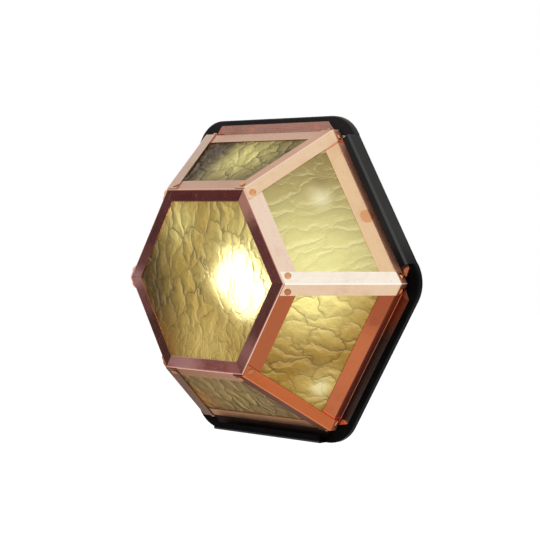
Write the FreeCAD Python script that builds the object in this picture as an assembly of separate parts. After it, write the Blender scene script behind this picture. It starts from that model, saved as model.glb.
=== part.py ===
import FreeCAD, Part
import math
import os
from FreeCAD import Vector

# Hexagonal copper lantern on a black steel plate: a flush light for a ceiling or a wall.
# Millimetres. X runs right, Z up and Y into the wall. The origin is the middle of the plate's back plane.
# Heights are counted from the plate's front face towards the lamp's front, along -Y.

# Lantern outline
front_across_flats = 163.0
front_height = 95.0
skirt_across_flats = 271.4
skirt_height = 10.1
flange_width = 9.3
flange_clearance = 0.2

# Folded copper strips
sheet = 1.0
fold_radius = 0.5
ridge_radius = 0.6
seam = 0.15
front_leg = 11.0
front_side_leg = 15.2
base_leg = 14.3
corner_leg = 11.0
corner_end = 1.2
foot_clearance = 0.3
foot_taper = 2.0
flange_cut_start = 4.3
flange_cut_end = 11.8

# Glass and the folded tabs that hold it
glass = 3.0
front_glass_margin = 6.0
side_glass_top = 10.8
side_glass_bottom = 5.0
side_glass_edge = 4.0
tab_sheet = 0.8
tab_width = 10.0
tab_foot = 3.0
tab_lip = 5.0
tab_edge_gap = 0.3
tab_face_gap = 0.1

# Hammered rivet heads
rivet_diameter = 6.4
rivet_dome = 1.8
rivet_facets = 9
rivet_rings = 3
front_rivet_drop = 6.6
front_rivet_side = 7.3
base_rivet_drop = 4.5
base_rivet_side = 7.3

# Steel plate
plate_across_flats = 300.0
plate_depth = 6.0
plate_sheet = 1.5
plate_corner_radius = 32.0
plate_edge = 1.0
fixing_spacing = 150.0
fixing_diameter = 5.0

# Folded channels on two sides of the plate, over the lantern's flange
channel_height = 10.4
channel_lip = 7.4
channel_inset = 0.3
channel_length = 132.0
channel_fold_radius = 0.5

# Headed studs that lock in keyhole slots when the lantern is slid under the channels
stud_count = 3
stud_diameter = 3.0
stud_head_diameter = 5.5
stud_head = 1.5
stud_from_skirt = 2.2
slot_clearance = 0.3
release_travel = 8.0

# Lamp
lamp_height = 40.0
globe_middle = -7.0
globe_diameter = 60.0
bulb_length = 104.0
bulb_neck_diameter = 30.0
cap_diameter = 26.2
cap_length = 24.0
cap_showing = 2.0
cap_tip_diameter = 10.0
cap_tip = 3.0
bulb_facets = 20
globe_rings = 8
neck_rings = 3

# Lampholder
holder_diameter = 40.0
holder_back = 8.0
shell_sheet = 0.8
shell_inset = 1.5
contact_sheet = 0.6
contact_rise = 2.4
contact_width = 5.0
contact_base = 3.0
contact_pad = 4.5
holder_screw_spacing = 26.0
wire_hole_diameter = 9.0

# Lamp bracket
bracket_sheet = 1.5
bracket_fold_radius = 1.0
bracket_width = 40.0
bracket_foot = 22.0
bracket_corner = 6.0
bracket_top_margin = 22.0
bracket_screw_spacing = 22.0

# Hexagon-headed screws, and the clearance round whatever sits in a hole
screw_diameter = 4.0
screw_across_flats = 7.0
screw_head = 2.8
screw_end = 1.5
fit = 0.05

# Wiring on the plate
grommet_x = 52.0
grommet_z = 8.0
grommet_bore = 8.0
grommet_neck_diameter = 12.0
grommet_lip_diameter = 17.0
grommet_lip = 1.8
grommet_end = 1.8
block_x = 52.0
block_z = 48.0
block_length = 34.0
block_width = 17.0
block_height = 14.0
block_base = 5.0
block_crown_width = 9.0
block_pitch = 11.0
block_poles = 3
wire_way = 3.4
pole_well = 4.4
pole_screw_diameter = 4.0
pole_screw_sink = 1.0
earth_x = -52.0
earth_z = 48.0

# Worked out from the sizes above
sides = 6
half_turn = math.pi / sides
tan_half = math.tan(half_turn)
front_apothem = front_across_flats / 2
skirt_apothem = skirt_across_flats / 2
plate_apothem = plate_across_flats / 2
flange_face = flange_clearance + sheet
slope_run = skirt_apothem - front_apothem
slope_rise = front_height - skirt_height
slant = math.hypot(slope_run, slope_rise)
face_up = Vector(-slope_run / slant, slope_rise / slant, 0)
face_out = Vector(slope_rise / slant, slope_run / slant, 0)
ridge_lean = math.atan2(slope_run * tan_half, slant)
ridge_inset = 1 / math.cos(ridge_lean)
reach = plate_across_flats
lamp_y = -(plate_depth + lamp_height)
bulb_tip = globe_middle - globe_diameter / 2 + bulb_length
shell_inner = cap_diameter / 2 + fit
shell_outer = shell_inner + shell_sheet
holder_bore = shell_outer + fit
holder_rim = bulb_tip - cap_tip - cap_length
bulb_neck_end = holder_rim - cap_showing
holder_floor = bulb_tip + contact_rise + contact_sheet
holder_top = holder_floor + holder_back


def at(x, out, height):
    """Point over the top side: x along it, out from the axis, height above the plate's face."""
    return Vector(x, -(plate_depth + height), out)


def section_point(point):
    """Point of a side's section, given as (out, height)."""
    return at(0, point.x, point.y)


def on_face(x, climb, lift=0.0):
    """Point on the top side's sloping face, climb from the skirt's fold and lift off the face."""
    spot = Vector(skirt_apothem, skirt_height, 0) + face_up * climb + face_out * lift
    return at(x, spot.x, spot.y)


def ridge_x(climb):
    """Half length of the top side's face at a climb: where the ridge runs."""
    return (skirt_apothem - slope_run * climb / slant) * tan_half


def turned(shape, step):
    """Copy of a top-side shape, turned clockwise by a number of sides as seen from the front."""
    copy = shape.copy()
    copy.rotate(Vector(0, 0, 0), Vector(0, 1, 0), step * 360.0 / sides)
    return copy


def all_round(shapes):
    """Every shape of the top side, repeated on all sides, as one group."""
    return Part.makeCompound([turned(shape, step) for step in range(sides) for shape in shapes])


def both_ends(shape):
    """A shape at the top side's right end and its mirror image at the left end."""
    return [shape, shape.mirror(Vector(0, 0, 0), Vector(1, 0, 0))]


def left_of(direction):
    return Vector(-direction.y, direction.x, 0)


def directions(line):
    return [(b - a).normalize() for a, b in zip(line, line[1:])]


def offset_line(line, distance):
    """The line moved to its left by a distance, with its corners kept sharp."""
    runs = directions(line)
    moved = [line[0] + left_of(runs[0]) * distance]
    for corner, before, after in zip(line[1:], runs, runs[1:]):
        share = distance / (1 + before.dot(after))
        moved.append(corner + (left_of(before) + left_of(after)) * share)
    moved.append(line[-1] + left_of(runs[-1]) * distance)
    return moved


def rounded_edges(line, radii, place):
    """Edges along a line whose inner corners are rounded to the given radii."""
    runs = directions(line)
    edges = []
    start = line[0]
    for corner, before, after, radius in zip(line[1:], runs, runs[1:], radii):
        half_angle = math.acos(max(-1.0, min(1.0, before.dot(after)))) / 2
        setback = radius * math.tan(half_angle)
        inward = (after - before).normalize()
        first = corner - before * setback
        middle = corner + inward * (radius / math.cos(half_angle) - radius)
        last = corner + after * setback
        edges.append(Part.LineSegment(place(start), place(first)).toShape())
        edges.append(Part.Arc(place(first), place(middle), place(last)).toShape())
        start = last
    edges.append(Part.LineSegment(place(start), place(line[-1])).toShape())
    return edges


def folded_section(line, thickness, inner_radius, place):
    """Section of a folded sheet: the line is one surface and the metal lies on its left."""
    runs = directions(line)
    inner_side = [before.cross(after).z > 0 for before, after in zip(runs, runs[1:])]
    outer_radius = inner_radius + thickness
    line_radii = [outer_radius if left_turn else inner_radius for left_turn in inner_side]
    back_radii = [inner_radius if left_turn else outer_radius for left_turn in inner_side]
    back = offset_line(line, thickness)
    back.reverse()
    back_radii.reverse()
    edges = rounded_edges(line, line_radii, place)
    edges.append(Part.LineSegment(place(line[-1]), place(back[0])).toShape())
    edges += rounded_edges(back, back_radii, place)
    edges.append(Part.LineSegment(place(back[-1]), place(line[0])).toShape())
    return Part.Face(Part.Wire(edges))


def prism(points, along):
    """Straight solid on a polygon."""
    return Part.Face(Part.makePolygon(points + [points[0]])).extrude(along)


def swept_along_side(section):
    """A side's section drawn out along the top side, longer than it needs to be."""
    strip = section.extrude(Vector(2 * reach, 0, 0))
    strip.translate(Vector(-reach, 0, 0))
    return strip


def mitre_wedge(gap):
    """The sixth of space over the top side, short of its two corner planes by a gap."""
    tip = gap / math.sin(half_turn)
    half = (reach - tip) * tan_half
    low = -(plate_depth + 1)
    corners = [at(0, tip, low), at(half, reach, low), at(-half, reach, low)]
    return prism(corners, Vector(0, -(front_height + plate_depth + 2), 0))


def revolved(profile_edges, centre, axis):
    face = Part.Face(Part.Wire(profile_edges))
    return face.revolve(centre, axis, 360)


def path_edges(points):
    return [Part.LineSegment(a, b).toShape() for a, b in zip(points, points[1:])]


def arc_points(centre, radius, start, end, steps):
    """Points (radius, height) on an arc, its angles counted from the level through its centre."""
    angles = [start + (end - start) * step / steps for step in range(steps + 1)]
    return [(centre[0] + radius * math.cos(angle), centre[1] + radius * math.sin(angle)) for angle in angles]


def faceted_turning(profile, facets):
    """Solid about Z on (radius, height) points from its lowest to its highest, round in flat facets."""
    def ring(radius, height):
        angles = [2 * math.pi * step / facets for step in range(facets)]
        return [Vector(radius * math.cos(angle), radius * math.sin(angle), height) for angle in angles]

    def flat_face(corners):
        distinct = [point for index, point in enumerate(corners) if (point - corners[index - 1]).Length > 0.001]
        return Part.Face(Part.makePolygon(distinct + [distinct[0]]))

    rings = [ring(radius, height) for radius, height in profile]
    faces = [flat_face(end) for end, (radius, height) in zip((rings[0], rings[-1]), (profile[0], profile[-1]))
             if radius > 0.001]
    for low, high in zip(rings, rings[1:]):
        for step in range(facets):
            after = (step + 1) % facets
            faces.append(flat_face([low[step], low[after], high[after], high[step]]))
    shell = Part.Shell(faces)
    shell.sewShape()
    return Part.Solid(shell)


def hexagon(across_flats):
    """Corners of a hexagon about Z."""
    radius = across_flats / (2 * math.cos(math.pi / 6))
    return [Vector(radius * math.cos(step * math.pi / 3), radius * math.sin(step * math.pi / 3), 0)
            for step in range(6)]


def placed(shape, origin, axis):
    """Copy of a shape made along Z from the world's origin, stood on a point along an axis."""
    copy = shape.copy()
    copy.Placement = FreeCAD.Placement(origin, FreeCAD.Rotation(Vector(0, 0, 1), axis))
    return copy


def export(shape, node):
    shape.exportStep(os.path.join("parts", node + ".step"))


# Places of the rivets on the top side's right end, and the outward direction there
front_rivet_climb = slant - front_rivet_drop
front_rivet_spot = on_face(ridge_x(front_rivet_climb) - front_rivet_side * ridge_inset, front_rivet_climb, sheet)
face_axis = section_point(face_out) - section_point(Vector(0, 0, 0))
base_rivet_height = skirt_height - base_rivet_drop
base_rivet_spot = at(skirt_apothem * tan_half - base_rivet_side, skirt_apothem + sheet, base_rivet_height)
out_axis = Vector(0, 0, 1)


def rivet():
    """Domed head on the copper, its underside at the origin."""
    head = rivet_diameter / 2
    dome_radius = (head ** 2 + rivet_dome ** 2) / (2 * rivet_dome)
    centre = rivet_dome - dome_radius
    rim_angle = math.asin(-centre / dome_radius)
    profile = arc_points((0, centre), dome_radius, rim_angle, math.pi / 2, rivet_rings)
    return faceted_turning(profile, rivet_facets)


# Front strip: an angle whose one leg lies on the front and whose other leg lies on the sloping face
def front_strip():
    fold = Vector(front_apothem, front_height, 0)
    line = [fold - face_up * front_side_leg, fold, fold - Vector(front_leg, 0, 0)]
    strip = swept_along_side(folded_section(line, sheet, fold_radius, section_point))
    return strip.common(mitre_wedge(seam)).Solids[0]


# Base strip: a leg on the sloping face, a skirt along the axis and a flange flat on the plate
def flange_notch():
    """Corner of the flange that is snipped away at the top side's right end."""
    corner_x = skirt_apothem * tan_half
    flange_rim = skirt_apothem + flange_width
    overrun = flange_width
    slope = (flange_cut_end - flange_cut_start) / flange_width
    outer_x = corner_x - flange_cut_end - slope * overrun
    floor = -flange_clearance
    corners = [at(corner_x - flange_cut_start, skirt_apothem, floor), at(outer_x, flange_rim + overrun, floor),
               at(reach, flange_rim + overrun, floor), at(reach, skirt_apothem, floor)]
    return prism(corners, Vector(0, -(flange_face + fold_radius + flange_clearance), 0))


def base_strip():
    fold = Vector(skirt_apothem, skirt_height, 0)
    foot = Vector(skirt_apothem, flange_face, 0)
    line = [foot + Vector(flange_width, 0, 0), foot, fold, fold + face_up * base_leg]
    strip = swept_along_side(folded_section(line, sheet, fold_radius, section_point))
    strip = strip.common(mitre_wedge(seam))
    for notch in both_ends(flange_notch()):
        strip = strip.cut(notch)
    return strip.Solids[0]


# Corner strip: an angle over each ridge, whose two legs fold down on the skirt as riveted feet
def corner_half():
    """The corner strip's half over the top side's right end, cut at the corner plane."""
    foot_end = flange_face + fold_radius + foot_clearance
    fold = Vector(skirt_apothem, skirt_height, 0)
    seat = [Vector(skirt_apothem, foot_end, 0), fold, fold + face_up * (slant - corner_end)]
    outside = offset_line(seat, -sheet)
    strip = swept_along_side(folded_section(outside, sheet, fold_radius + sheet, section_point))
    strip = strip.common(mitre_wedge(0))
    depth = 4 * sheet
    overlap = 3 * sheet
    leg_width = corner_leg * ridge_inset
    free_low = ridge_x(0) - leg_width
    free_high = ridge_x(slant) - leg_width
    leg = prism([on_face(free_low, -overlap, -depth), on_face(free_low, 0, -depth),
                 on_face(free_high, slant, -depth), on_face(reach, slant, -depth),
                 on_face(reach, -overlap, -depth)], face_axis * (2 * depth))
    inner = skirt_apothem - depth
    toe = free_low + foot_taper
    foot = prism([at(free_low, inner, skirt_height + overlap), at(free_low, inner, skirt_height - overlap),
                  at(toe, inner, foot_end), at(reach, inner, foot_end),
                  at(reach, inner, skirt_height + overlap)], Vector(0, 0, 2 * depth))
    return strip.common(leg.fuse(foot))


def corner_strip():
    half = corner_half()
    across = Vector(math.cos(half_turn), 0, -math.sin(half_turn))
    strip = half.fuse(half.mirror(Vector(0, 0, 0), across)).removeSplitter()
    ridge = [edge for edge in strip.Edges if is_outer_ridge(edge, across)]
    return strip.makeFillet(ridge_radius, ridge).Solids[0]


def is_outer_ridge(edge, across):
    """Whether an edge runs along the corner plane on the strip's outer side."""
    ends = [vertex.Point for vertex in edge.Vertexes]
    if any(abs(point.dot(across)) > 0.01 for point in ends):
        return False
    middle = edge.valueAt((edge.FirstParameter + edge.LastParameter) / 2)
    out = math.hypot(middle.x, middle.z) * math.cos(half_turn)
    height = -middle.y - plate_depth
    face_lift = (Vector(out - skirt_apothem, height - skirt_height, 0)).dot(face_out)
    skirt_lift = out - skirt_apothem
    along_ridge = abs(ends[0].y - ends[-1].y) > 1.2 * sheet
    return along_ridge and min(abs(face_lift - sheet), abs(skirt_lift - sheet)) < 0.4 * sheet


# Glass
def front_glass():
    apothem = front_apothem - front_glass_margin
    radius = apothem / math.cos(half_turn)
    back = front_height - sheet - glass
    angles = [half_turn + 2 * half_turn * step for step in range(sides)]
    corners = [at(radius * math.sin(angle), radius * math.cos(angle), back) for angle in angles]
    return prism(corners, Vector(0, -glass, 0))


def side_glass():
    low = side_glass_bottom
    high = slant - side_glass_top
    inset = side_glass_edge * ridge_inset
    lift = -(sheet + glass)
    corners = [on_face(ridge_x(low) - inset, low, lift), on_face(ridge_x(high) - inset, high, lift),
               on_face(inset - ridge_x(high), high, lift), on_face(inset - ridge_x(low), low, lift)]
    return prism(corners, face_axis * glass)


def glass_tab(corner, toward_middle, inward):
    """Folded tab: its foot on the copper, its lip behind the glass. Corner is where foot and web meet."""
    lip_height = glass + tab_face_gap
    line = [Vector(-tab_foot, 0, 0), Vector(0, 0, 0), Vector(0, lip_height, 0), Vector(tab_lip, lip_height, 0)]
    back = offset_line(line, tab_sheet)
    section = [corner + toward_middle * point.x + inward * point.y for point in line + back[::-1]]
    tab = prism(section, Vector(tab_width, 0, 0))
    tab.translate(Vector(-tab_width / 2, 0, 0))
    return tab


def side_glass_tabs():
    climb_axis = section_point(face_up) - section_point(Vector(0, 0, 0))
    low = on_face(0, side_glass_bottom - tab_edge_gap, -sheet)
    high = on_face(0, slant - side_glass_top + tab_edge_gap, -sheet)
    return [glass_tab(low, climb_axis, -face_axis), glass_tab(high, -climb_axis, -face_axis)]


def front_glass_tab():
    corner = at(0, front_apothem - front_glass_margin + tab_edge_gap, front_height - sheet)
    return glass_tab(corner, Vector(0, 0, -1), Vector(0, 1, 0))


# Headed studs under the flange, and the keyhole slots that they slide in. The lantern comes out of the channels
# straight away from the side between them, towards the side opposite that one.
stud_orbit = skirt_apothem + stud_from_skirt
stud_sides = [step * sides // stud_count for step in range(stud_count)]
channel_sides = {"channel_upper_right": 1, "channel_bottom": 3}
release_side = 5


def side_direction(step):
    """Direction from the axis square to a side, counted clockwise from the top as seen from the front."""
    angle = 2 * half_turn * step
    return Vector(math.sin(angle), 0, math.cos(angle))


def stud():
    shank = Part.makeCylinder(stud_diameter / 2, flange_clearance + plate_sheet + flange_clearance)
    head = Part.makeCylinder(stud_head_diameter / 2, stud_head, Vector(0, 0, shank.BoundBox.ZMax))
    return placed(shank.fuse(head).removeSplitter(), at(0, stud_orbit, flange_clearance), Vector(0, 1, 0))


def keyhole_slot(step):
    """Straight slot from a stud's seat to the round hole that its head comes in by."""
    back = Vector(0, 1, 0)
    through = 3 * plate_sheet
    width = stud_diameter / 2 + slot_clearance
    entry_radius = stud_head_diameter / 2 + slot_clearance
    seat = at(0, 0, plate_sheet) + side_direction(step) * stud_orbit
    entry = seat + side_direction(release_side) * release_travel
    across = side_direction(release_side).cross(back) * width
    slot = prism([seat + across, entry + across, entry - across, seat - across], back * through)
    end = Part.makeCylinder(width, through, seat, back)
    hole = Part.makeCylinder(entry_radius, through, entry, back)
    return slot.fuse([end, hole])


# Channel: a strip welded in place of the plate's rim, with its free edge folded inwards over the flange
channel_web = plate_apothem - channel_inset


def channel():
    line = [Vector(channel_web, -plate_depth, 0), Vector(channel_web, channel_height, 0),
            Vector(channel_web - channel_lip, channel_height, 0)]
    strip = folded_section(line, plate_sheet, channel_fold_radius, section_point)
    strip = strip.extrude(Vector(channel_length, 0, 0))
    strip.translate(Vector(-channel_length / 2, 0, 0))
    return strip


def channel_gap():
    """What the plate's edge loses where a channel takes its place."""
    inner = channel_web - plate_sheet
    half = channel_length / 2
    floor = -2 * plate_depth
    corners = [at(-half, inner, floor), at(half, inner, floor), at(half, reach, floor), at(-half, reach, floor)]
    return prism(corners, Vector(0, -3 * plate_depth, 0))


# Steel plate: a shallow hexagonal pan with wide rounded corners
def rounded_hexagon(apothem, corner_radius, height):
    radius = apothem / math.cos(half_turn)
    angles = [half_turn + 2 * half_turn * step for step in range(sides)]
    corners = [Vector(radius * math.sin(angle), radius * math.cos(angle), 0) for angle in angles]
    start = (corners[-1] + corners[0]) * 0.5
    line = [start] + corners + [start]
    edges = rounded_edges(line, [corner_radius] * sides, lambda point: at(point.x, point.y, height))
    return Part.Face(Part.Wire(edges))


def plate_hole(x, z, diameter):
    return Part.makeCylinder(diameter / 2, 3 * plate_sheet, at(x, z, plate_sheet), Vector(0, 1, 0))


bracket_screw_z = holder_top + bracket_sheet + (bracket_foot - bracket_sheet) / 2
screw_hole_diameter = screw_diameter + 2 * fit


def base_plate():
    plate = rounded_hexagon(plate_apothem, plate_corner_radius, 0).extrude(Vector(0, plate_depth, 0))
    front_edges = [edge for edge in plate.Edges if abs(edge.BoundBox.YMax + plate_depth) < 0.001]
    plate = plate.makeChamfer(plate_edge, front_edges)
    hollow = rounded_hexagon(plate_apothem - plate_sheet, plate_corner_radius - plate_sheet, -plate_sheet)
    plate = plate.cut(hollow.extrude(Vector(0, plate_depth, 0)))
    cutters = [turned(channel_gap(), step) for step in channel_sides.values()]
    cutters += [keyhole_slot(step) for step in stud_sides]
    for side in (-1, 1):
        cutters.append(plate_hole(side * fixing_spacing / 2, 0, fixing_diameter))
        cutters.append(plate_hole(side * bracket_screw_spacing / 2, bracket_screw_z, screw_hole_diameter))
    cutters.append(plate_hole(grommet_x, grommet_z, grommet_neck_diameter + 2 * fit))
    cutters.append(plate_hole(earth_x, earth_z, screw_hole_diameter))
    for cutter in cutters:
        plate = plate.cut(cutter)
    return plate.Solids[0]


# Screws
def hexagon_screw(length):
    """Screw along -Z, its head's underside at the origin."""
    shank = Part.makeCylinder(screw_diameter / 2, length, Vector(0, 0, -length))
    head = prism(hexagon(screw_across_flats), Vector(0, 0, screw_head))
    return shank.fuse(head).removeSplitter()


def plate_screw(x, z, grip):
    """Screw into the plate, holding a thickness of other pieces under its head."""
    screw = hexagon_screw(grip + plate_sheet + screw_end)
    return placed(screw, at(x, z, grip), Vector(0, -1, 0))


# Lamp bracket: a folded angle that carries the lampholder
def lamp_bracket():
    top = lamp_height + bracket_top_margin
    inner_face = holder_top
    line = [Vector(inner_face, top, 0), Vector(inner_face, 0, 0), Vector(inner_face + bracket_foot, 0, 0)]
    bracket = folded_section(line, bracket_sheet, bracket_fold_radius, section_point)
    bracket = bracket.extrude(Vector(bracket_width, 0, 0))
    bracket.translate(Vector(-bracket_width / 2, 0, 0))
    free_corners = [edge for edge in bracket.Edges if is_bracket_corner(edge, top)]
    bracket = bracket.makeChamfer(bracket_corner, free_corners)
    up = Vector(0, 0, 1)
    through = 4 * bracket_sheet
    base = inner_face - bracket_sheet
    bracket = bracket.cut(Part.makeCylinder(wire_hole_diameter / 2, through, Vector(0, lamp_y, base), up))
    for side in (-1, 1):
        spot = Vector(side * holder_screw_spacing / 2, lamp_y, base)
        bracket = bracket.cut(Part.makeCylinder(screw_hole_diameter / 2, through, spot, up))
        bracket = bracket.cut(plate_hole(side * bracket_screw_spacing / 2, bracket_screw_z, screw_hole_diameter))
    return bracket.Solids[0]


def is_bracket_corner(edge, top):
    """Whether an edge is one of the short free corners of the bracket's upright or foot."""
    box = edge.BoundBox
    at_top = abs(-box.YMin - plate_depth - top) < 0.001 and box.YLength < 0.001
    at_toe = abs(box.ZMax - holder_top - bracket_foot) < 0.001 and box.ZLength < 0.001
    return (at_top or at_toe) and abs(edge.Length - bracket_sheet) < 0.001


# Lampholder and bulb, turned about the lamp's own axis
def lamp_point(radius, z):
    return Vector(radius, lamp_y, z)


def lamp_turned(edges):
    return revolved(edges, Vector(0, lamp_y, 0), Vector(0, 0, 1))


def lampholder_body():
    outer = holder_diameter / 2
    wire = wire_hole_diameter / 2
    profile = [(holder_bore, holder_rim), (outer, holder_rim), (outer, holder_top), (wire, holder_top),
               (wire, holder_floor), (holder_bore, holder_floor), (holder_bore, holder_rim)]
    body = lamp_turned(path_edges([lamp_point(radius, z) for radius, z in profile]))
    for side in (-1, 1):
        spot = Vector(side * holder_screw_spacing / 2, lamp_y, holder_top)
        hole = Part.makeCylinder(screw_hole_diameter / 2, holder_back - 1, spot, Vector(0, 0, -1))
        body = body.cut(hole)
    return body.Solids[0]


def lampholder_shell():
    mouth = holder_rim + shell_inset
    profile = [(shell_inner, mouth), (shell_outer, mouth), (shell_outer, holder_floor), (shell_inner, holder_floor),
               (shell_inner, mouth)]
    return lamp_turned(path_edges([lamp_point(radius, z) for radius, z in profile]))


def lampholder_contact():
    """Spring tongue from the holder's floor down to the bulb's tip."""
    seat_end = -wire_hole_diameter / 2
    high = bulb_tip + contact_rise
    line = [Vector(seat_end - contact_base, high, 0), Vector(seat_end, high, 0),
            Vector(-contact_pad / 2, bulb_tip, 0), Vector(contact_pad / 2, bulb_tip, 0)]
    section = folded_section(line, contact_sheet, contact_sheet / 2,
                             lambda point: Vector(point.x, lamp_y - contact_width / 2, point.y))
    return section.extrude(Vector(0, contact_width, 0))


def lampholder_screws():
    screws = []
    for side in (-1, 1):
        screw = hexagon_screw(bracket_sheet + holder_back - 2)
        spot = Vector(side * holder_screw_spacing / 2, lamp_y, holder_top + bracket_sheet)
        screws.append(placed(screw, spot, Vector(0, 0, 1)))
    return Part.makeCompound(screws)


def bulb():
    """Round bulb hanging cap up: the neck's curve meets the globe without a crease."""
    globe = globe_diameter / 2
    neck = bulb_neck_diameter / 2
    cap = cap_diameter / 2
    rise = bulb_neck_end - globe_middle
    neck_curve = (neck ** 2 + rise ** 2 - globe ** 2) / (2 * (globe - neck))
    lean = math.atan2(rise, neck + neck_curve)
    profile = arc_points((0, globe_middle), globe, -math.pi / 2, lean, globe_rings)
    profile += arc_points((neck + neck_curve, bulb_neck_end), neck_curve, math.pi + lean, math.pi, neck_rings)[1:]
    profile += [(cap, bulb_neck_end), (cap, bulb_tip - cap_tip), (cap_tip_diameter / 2, bulb_tip)]
    return placed(faceted_turning(profile, bulb_facets), Vector(0, lamp_y, 0), Vector(0, 0, 1))


# Wiring on the plate
def cable_grommet():
    """Bush with a lip on the plate's face and a neck that ends behind it."""
    bore = grommet_bore / 2
    neck = grommet_neck_diameter / 2
    lip = grommet_lip_diameter / 2
    end = -(plate_sheet + grommet_end)
    profile = [(bore, grommet_lip), (lip, grommet_lip), (lip, 0), (neck, 0), (neck, end), (bore, end),
               (bore, grommet_lip)]
    points = [Vector(radius, 0, height) for radius, height in profile]
    ring = revolved(path_edges(points), Vector(0, 0, 0), Vector(0, 0, 1))
    return placed(ring, at(grommet_x, grommet_z, 0), Vector(0, -1, 0))


def pole_places():
    first = -(block_poles - 1) / 2
    return [block_x + (first + index) * block_pitch for index in range(block_poles)]


def terminal_block():
    """Moulded block: a flat base and a crown, with a wire way and a screw well for each pole."""
    half = block_width / 2
    crown = block_crown_width / 2
    section = [Vector(-half, 0, 0), Vector(half, 0, 0), Vector(half, block_base, 0), Vector(crown, block_height, 0),
               Vector(-crown, block_height, 0), Vector(-half, block_base, 0)]
    left = block_x - block_length / 2
    block = prism([at(left, block_z + point.x, point.y) for point in section], Vector(block_length, 0, 0))
    way_floor = (block_base + block_height - wire_way) / 2
    for x in pole_places():
        way = Part.makeBox(wire_way, wire_way, 2 * block_width)
        way.translate(at(x - wire_way / 2, block_z - block_width, way_floor + wire_way))
        well = Part.makeBox(pole_well, block_height - way_floor, pole_well)
        well.translate(at(x - pole_well / 2, block_z - pole_well / 2, block_height))
        block = block.cut(way).cut(well)
    return block.Solids[0]


def terminal_screws():
    length = (block_height - block_base + wire_way) / 2 - pole_screw_sink
    screw = Part.makeCylinder(pole_screw_diameter / 2, length)
    tops = [at(x, block_z, block_height - pole_screw_sink) for x in pole_places()]
    return Part.makeCompound([placed(screw, top, Vector(0, 1, 0)) for top in tops])


def main():
    os.makedirs("parts", exist_ok=True)
    strips = {"front_strip": front_strip(), "base_strip": base_strip(), "corner_strip": corner_strip(),
              "side_glass": side_glass()}
    for name, shape in strips.items():
        for step in range(sides):
            export(turned(shape, step), f"{name}_{step + 1}")
    export(front_glass(), "front_glass")
    export(all_round(side_glass_tabs()), "side_glass_tabs")
    export(all_round([front_glass_tab()]), "front_glass_tabs")
    export(all_round(both_ends(placed(rivet(), front_rivet_spot, face_axis))), "front_rivets")
    export(all_round(both_ends(placed(rivet(), base_rivet_spot, out_axis))), "base_rivets")
    export(Part.makeCompound([turned(stud(), step) for step in stud_sides]), "key_studs")
    export(base_plate(), "base_plate")
    for name, step in channel_sides.items():
        export(turned(channel(), step), name)
    export(lamp_bracket(), "lamp_bracket")
    bracket_screws = [plate_screw(side * bracket_screw_spacing / 2, bracket_screw_z, bracket_sheet)
                      for side in (-1, 1)]
    export(Part.makeCompound(bracket_screws), "bracket_screws")
    export(lampholder_body(), "lampholder_body")
    export(lampholder_shell(), "lampholder_shell")
    export(lampholder_contact(), "lampholder_contact")
    export(lampholder_screws(), "lampholder_screws")
    export(bulb(), "bulb")
    export(cable_grommet(), "cable_grommet")
    export(terminal_block(), "terminal_block")
    export(terminal_screws(), "terminal_screws")
    export(plate_screw(earth_x, earth_z, 0), "earth_screw")


main()
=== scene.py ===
# %% [markdown]
# A flush light made by hand: a six-sided lantern of folded copper strips, with panes of wrinkled amber
# glass, on a black steel plate. Its solids are already built, so this lesson dresses them: it loads the
# solids as a fixed frame, sets the camera, gives every piece its finish and models what the solids keep
# plain.

# %% Load the solids
import math
from collections import namedtuple
import bpy
from mathutils import Matrix, Quaternion, Vector


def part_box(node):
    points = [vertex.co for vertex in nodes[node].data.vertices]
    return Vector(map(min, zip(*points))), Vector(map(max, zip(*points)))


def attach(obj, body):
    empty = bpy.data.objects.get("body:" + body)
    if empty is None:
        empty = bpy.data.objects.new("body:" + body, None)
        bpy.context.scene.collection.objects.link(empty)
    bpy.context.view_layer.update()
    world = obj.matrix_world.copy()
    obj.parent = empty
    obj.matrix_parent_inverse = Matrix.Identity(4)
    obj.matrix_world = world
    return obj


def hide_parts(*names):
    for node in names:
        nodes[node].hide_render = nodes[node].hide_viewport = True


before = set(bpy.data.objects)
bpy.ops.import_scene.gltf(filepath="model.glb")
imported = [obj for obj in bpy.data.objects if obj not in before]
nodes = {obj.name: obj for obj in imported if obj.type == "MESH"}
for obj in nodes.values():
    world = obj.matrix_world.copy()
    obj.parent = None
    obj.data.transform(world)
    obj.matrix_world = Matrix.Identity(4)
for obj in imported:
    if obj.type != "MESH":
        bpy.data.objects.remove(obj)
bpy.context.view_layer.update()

sides = range(6)

# %% [markdown]
# The camera stands to the right of the light and looks slightly down on it, through a long lens, which
# keeps the hexagon's sides nearly parallel. A camera looks along its own -Z, so its look direction is
# turned into a rotation, and the small roll is added about that axis.

# %% Set the camera
camera_place = Vector((0.9237, -1.0638, 0.0583))
camera_turn = math.radians(41.26)
camera_tilt = math.radians(2.09)
camera_roll = math.radians(0.49)
camera_lens_mm = 99.0
camera_sensor_mm = 36.0
camera_look = Vector((-math.sin(camera_turn) * math.cos(camera_tilt),
                      math.cos(camera_turn) * math.cos(camera_tilt),
                      -math.sin(camera_tilt)))
roll = Quaternion((0, 0, 1), camera_roll)
camera = bpy.data.objects.new("camera", bpy.data.cameras.new("camera"))
camera.data.lens = camera_lens_mm
camera.data.sensor_width = camera_sensor_mm
camera.location = camera_place
camera.rotation_euler = (camera_look.to_track_quat("-Z", "Y") @ roll).to_euler()
bpy.context.scene.collection.objects.link(camera)
bpy.context.scene.camera = camera
bpy.context.scene.view_settings.view_transform = "Standard"
print("camera looks along", [round(value, 3) for value in camera_look])

# %% [markdown]
# A finish is a tree of shader nodes. Written out node by node it is hard to read, so two small classes
# help. Value wraps one output of a node and lets Python's own signs add the Math nodes, as in `1 - mask *
# 0.5`.


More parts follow.
